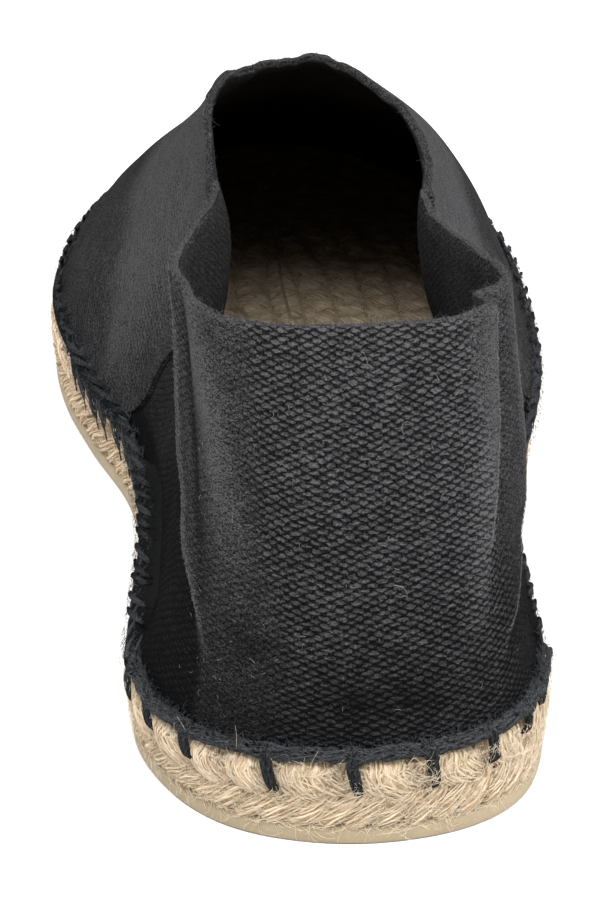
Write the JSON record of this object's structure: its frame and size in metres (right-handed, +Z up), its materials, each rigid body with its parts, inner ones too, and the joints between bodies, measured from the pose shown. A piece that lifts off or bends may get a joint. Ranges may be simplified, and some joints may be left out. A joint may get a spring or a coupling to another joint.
{
  "type": "espadrille",
  "caption": "Flat slip-on espadrille for a right foot: hollow canvas upper, open at collar and throat, on a plaited jute midsole with a thin rubber outsole.",
  "frame": {"origin": "on the floor, under the middle of the shoe's footprint", "axes": "+Y from heel to toe, +X towards the outer side of the right foot, +Z up"},
  "size_m": [0.0956, 0.2678, 0.0825],
  "materials": {
    "outsole": "thin moulded crepe-coloured rubber",
    "midsole": "natural jute, plaited and coiled",
    "upper": "black cotton canvas, plain weave"
  },
  "bodies": {
    "root": {"outsole": "outsole", "midsole": "midsole", "upper": "upper"}
  },
  "joints": []
}
